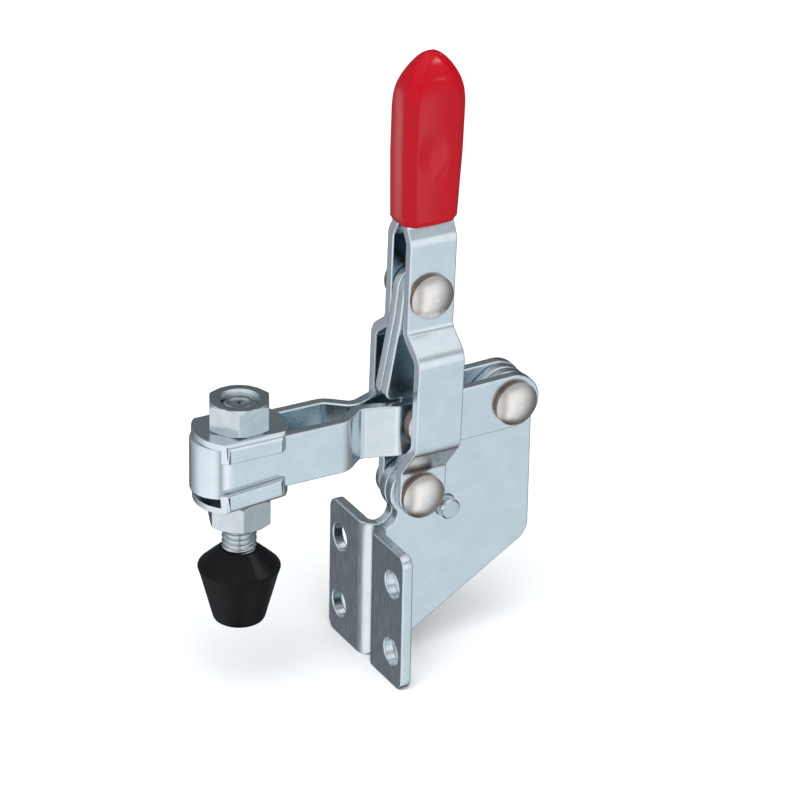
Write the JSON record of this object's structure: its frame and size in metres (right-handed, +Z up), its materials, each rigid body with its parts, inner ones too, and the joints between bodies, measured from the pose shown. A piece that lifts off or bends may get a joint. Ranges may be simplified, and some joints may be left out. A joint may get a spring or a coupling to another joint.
{
  "type": "toggle clamp",
  "caption": "Small vertical toggle clamp with a flanged front base, a forked hold-down arm with a rubber-tipped spindle and a handle with a moulded grip.",
  "frame": {"origin": "centre of the four bolt holes, on the flange's front mounting face", "axes": "+X out of the mounting face, the way the arm reaches; +Y to the clamp's left; +Z up, the way the locked handle stands"},
  "size_m": [0.0647, 0.0268, 0.1127],
  "materials": {
    "zinc_steel": "bright zinc plated",
    "bright_fasteners": "bright zinc plated, machined",
    "nickel_rivet": "polished nickel",
    "red_grip": "soft satin vinyl",
    "black_rubber": "matte"
  },
  "bodies": {
    "base": {"base_plate_left": "zinc_steel", "base_plate_right": "zinc_steel", "arm_pivot_rivet": "nickel_rivet", "handle_pivot_rivet": "nickel_rivet", "stop_pin": "nickel_rivet"},
    "handle": {"handle_plate_left": "zinc_steel", "handle_plate_right": "zinc_steel", "grip": "red_grip", "handle_link_rivet": "nickel_rivet"},
    "arm": {"hold_down_arm": "zinc_steel", "arm_link_rivet": "nickel_rivet"},
    "links": {"link_left": "zinc_steel", "link_right": "zinc_steel"},
    "carrier": {"upper_nut": "bright_fasteners", "lower_nut": "bright_fasteners", "upper_washer": "zinc_steel", "lower_washer": "zinc_steel"},
    "spindle": {"spindle": "bright_fasteners", "rubber_tip": "black_rubber"}
  },
  "joints": [
    {"name": "handle_swing", "type": "hinge", "parent": "base", "child": "handle", "pos_m": [-0.0085, 0, 0.0195], "axis": [0, -1, 0], "range_deg": [0, 60]},
    {"name": "arm_swing", "type": "hinge", "parent": "base", "child": "arm", "pos_m": [-0.0265, 0, 0.0333], "axis": [0, -1, 0], "range_deg": [0, 71.35]},
    {"name": "links_swing", "type": "hinge", "parent": "arm", "child": "links", "pos_m": [-0.0093, 0, 0.0332], "axis": [0, -1, 0], "range_deg": [0, 48.79]},
    {"name": "spindle_reach", "type": "slide", "parent": "arm", "child": "carrier", "axis": [1, 0, 0], "range_m": [-0.012, 0.003]},
    {"name": "spindle_height", "type": "slide", "parent": "carrier", "child": "spindle", "axis": [0, 0, 1], "range_m": [-0.003, 0.0045]}
  ],
  "couplings": [
    {"joint": "arm_swing", "follows": "handle_swing", "ratio": 1.1884},
    {"joint": "links_swing", "follows": "handle_swing", "ratio": 0.81228}
  ]
}
